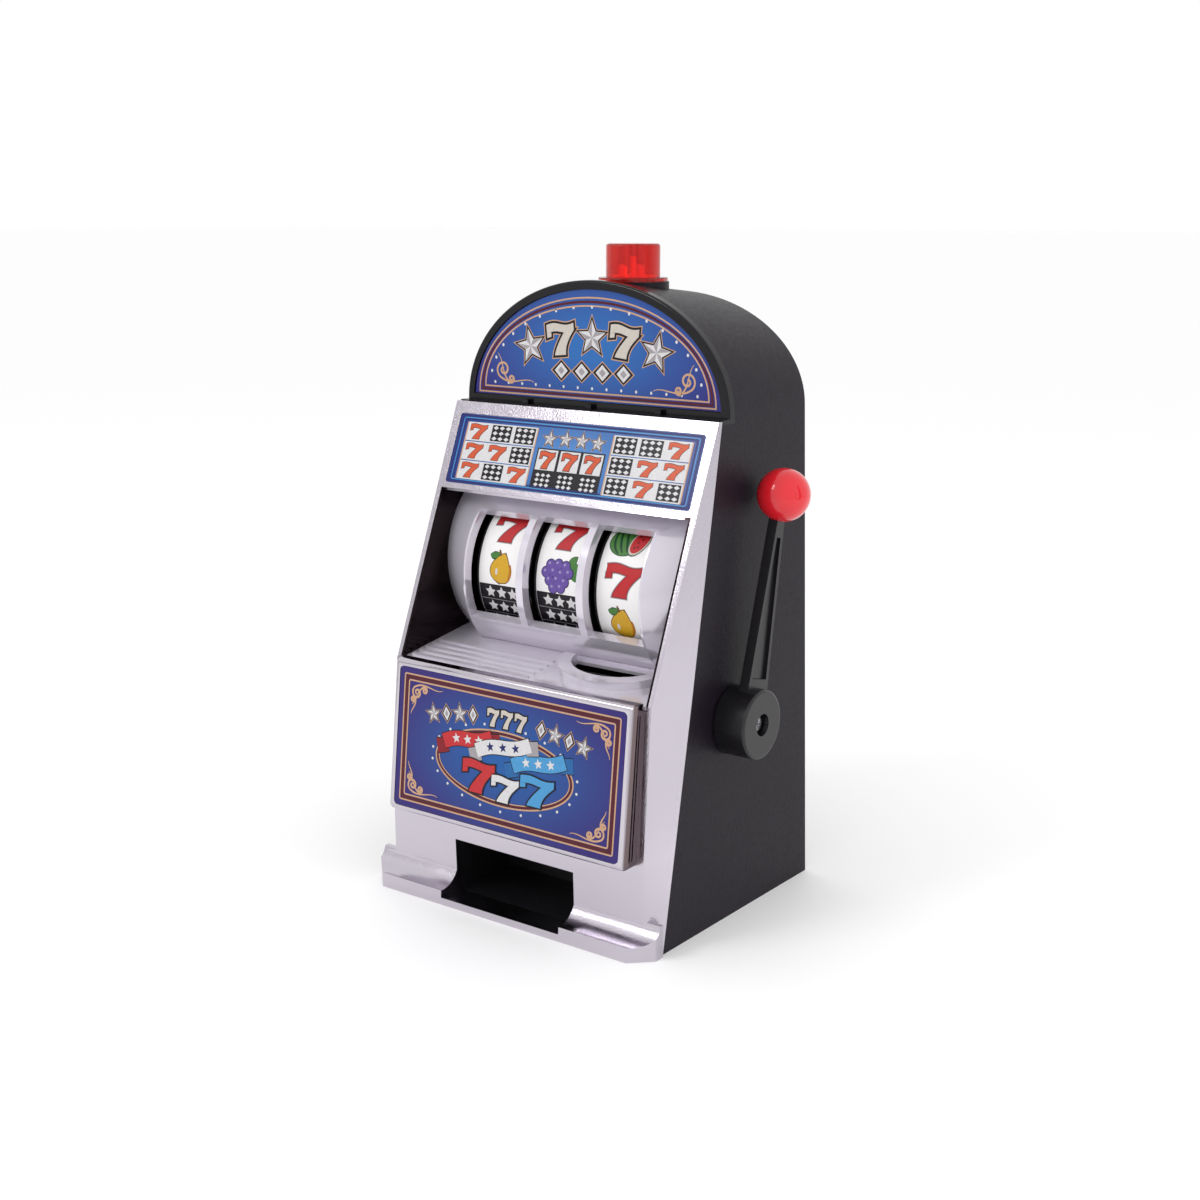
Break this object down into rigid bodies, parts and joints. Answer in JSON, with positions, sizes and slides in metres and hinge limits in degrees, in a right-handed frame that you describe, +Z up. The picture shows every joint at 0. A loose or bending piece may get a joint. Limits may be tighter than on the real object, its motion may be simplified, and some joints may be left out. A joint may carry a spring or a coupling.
{
  "type": "toy slot machine coin bank",
  "caption": "Tabletop slot machine coin bank with an arched sign, reels behind a chrome mask, a side pull lever, a coin shelf and a payout tray.",
  "frame": {"origin": "centre of the case's base, on the floor", "axes": "+Z up, +X towards the pull lever (the player's right), -Y towards the player"},
  "size_m": [0.2305, 0.1827, 0.381],
  "materials": {
    "case_plastic": "fine-textured dark grey moulding",
    "chrome_trim": "vacuum-plated plastic, mirror bright, satin on the flanks",
    "black_gloss": "smooth gloss black",
    "printed_panel": "printed card behind clear gloss film",
    "sign_print": "printed translucent sign plate",
    "reel_print": "printed white strip",
    "drum_black": "plain black moulding",
    "ball_red": "high gloss",
    "beacon_red": "translucent red lens",
    "lamp_plastic": "pale lamp holder",
    "inner_plastic": "plain dark moulding",
    "zinc_plate": "zinc-plated sheet",
    "steel": "bright steel",
    "board_green": "coated circuit board",
    "speaker_grey": "paper cone and steel can",
    "cell_jacket": "plain printed jacket",
    "pad_rubber": "soft black pad"
  },
  "bodies": {
    "cabinet": {"arch_frame": "black_gloss", "base_pads": "pad_rubber", "base_plate": "case_plastic", "base_screws": "steel", "batteries": "cell_jacket", "battery_box": "inner_plastic", "battery_contacts": "steel", "beacon_base": "black_gloss", "beacon_lamp": "lamp_plastic", "beacon_lens": "beacon_red", "belly_frame": "chrome_trim", "belly_panel": "printed_panel", "board_screws": "steel", "case_shell": "case_plastic", "chassis_left": "inner_plastic", "chassis_right": "inner_plastic", "chassis_rods": "steel", "circuit_board": "board_green", "coin_chute": "inner_plastic", "coin_hopper": "inner_plastic", "coin_shelf": "chrome_trim", "door_pin": "steel", "front_bezel": "chrome_trim", "gate_pin": "steel", "header_panel": "printed_panel", "lever_bush": "inner_plastic", "lever_spring": "steel", "pawl_shaft": "steel", "payout_bin": "inner_plastic", "recess_liner": "chrome_trim", "reel_axle": "steel", "reel_mask": "chrome_trim", "sign_lamp_board": "board_green", "sign_panel": "sign_print", "speaker": "speaker_grey", "switch_body": "black_gloss", "trip_pin": "steel"},
    "lever": {"lever_shaft": "steel", "lever_hub": "black_gloss", "lever_screw": "steel", "lever_arm": "black_gloss", "lever_knob": "ball_red", "kicker_cam": "inner_plastic"},
    "payout_gate_body": {"payout_gate": "inner_plastic"},
    "coin_trip_body": {"coin_trip": "inner_plastic"},
    "coin_door_body": {"coin_door": "case_plastic"},
    "door_latch_body": {"door_latch": "black_gloss"},
    "battery_door_body": {"battery_door": "case_plastic"},
    "switch_slider_body": {"switch_slider": "black_gloss"},
    "reel_1": {"reel_drum_1": "drum_black", "reel_strip_1": "reel_print"},
    "pawl_1_body": {"pawl_1": "zinc_plate"},
    "reel_2": {"reel_drum_2": "drum_black", "reel_strip_2": "reel_print"},
    "pawl_2_body": {"pawl_2": "zinc_plate"},
    "reel_3": {"reel_drum_3": "drum_black", "reel_strip_3": "reel_print"},
    "pawl_3_body": {"pawl_3": "zinc_plate"}
  },
  "joints": [
    {"name": "lever_pull", "type": "hinge", "parent": "cabinet", "child": "lever", "pos_m": [0.107, -0.0075, 0.118], "axis": [1, 0, 0], "range_deg": [0, 75], "stiffness_Nm_per_rad": 0.03, "springref_deg": -28.65},
    {"name": "reel_1_spin", "type": "hinge", "parent": "cabinet", "child": "reel_1", "pos_m": [-0.044, 0.0065, 0.1865], "axis": [1, 0, 0], "continuous": true},
    {"name": "reel_2_spin", "type": "hinge", "parent": "cabinet", "child": "reel_2", "pos_m": [0, 0.0065, 0.1865], "axis": [1, 0, 0], "continuous": true},
    {"name": "reel_3_spin", "type": "hinge", "parent": "cabinet", "child": "reel_3", "pos_m": [0.044, 0.0065, 0.1865], "axis": [1, 0, 0], "continuous": true},
    {"name": "pawl_1_drop", "type": "hinge", "parent": "cabinet", "child": "pawl_1_body", "pos_m": [-0.027, 0.05883, 0.17377], "axis": [-1, 0, 0], "range_deg": [0, 6]},
    {"name": "pawl_2_drop", "type": "hinge", "parent": "cabinet", "child": "pawl_2_body", "pos_m": [0.017, 0.05883, 0.17377], "axis": [-1, 0, 0], "range_deg": [0, 6]},
    {"name": "pawl_3_drop", "type": "hinge", "parent": "cabinet", "child": "pawl_3_body", "pos_m": [0.061, 0.05883, 0.17377], "axis": [-1, 0, 0], "range_deg": [0, 6]},
    {"name": "gate_swing", "type": "hinge", "parent": "cabinet", "child": "payout_gate_body", "pos_m": [0, -0.0345, 0.041], "axis": [-1, 0, 0], "range_deg": [0, 70]},
    {"name": "trip_dip", "type": "hinge", "parent": "cabinet", "child": "coin_trip_body", "pos_m": [0.039, -0.0385, 0.122], "axis": [1, 0, 0], "range_deg": [0, 30], "stiffness_Nm_per_rad": 0.0004, "springref_deg": -28.65},
    {"name": "door_open", "type": "hinge", "parent": "cabinet", "child": "coin_door_body", "pos_m": [0, 0.0807, 0.066], "axis": [-1, 0, 0], "range_deg": [0, 110]},
    {"name": "latch_turn", "type": "hinge", "parent": "coin_door_body", "child": "door_latch_body", "pos_m": [0, 0.0775, 0.112], "axis": [0, -1, 0], "range_deg": [0, 90]},
    {"name": "battery_door_pull", "type": "slide", "parent": "cabinet", "child": "battery_door_body", "axis": [0, 1, 0], "range_m": [0, 0.012]},
    {"name": "switch_slide", "type": "slide", "parent": "cabinet", "child": "switch_slider_body", "axis": [1, 0, 0], "range_m": [0, 0.004]}
  ]
}
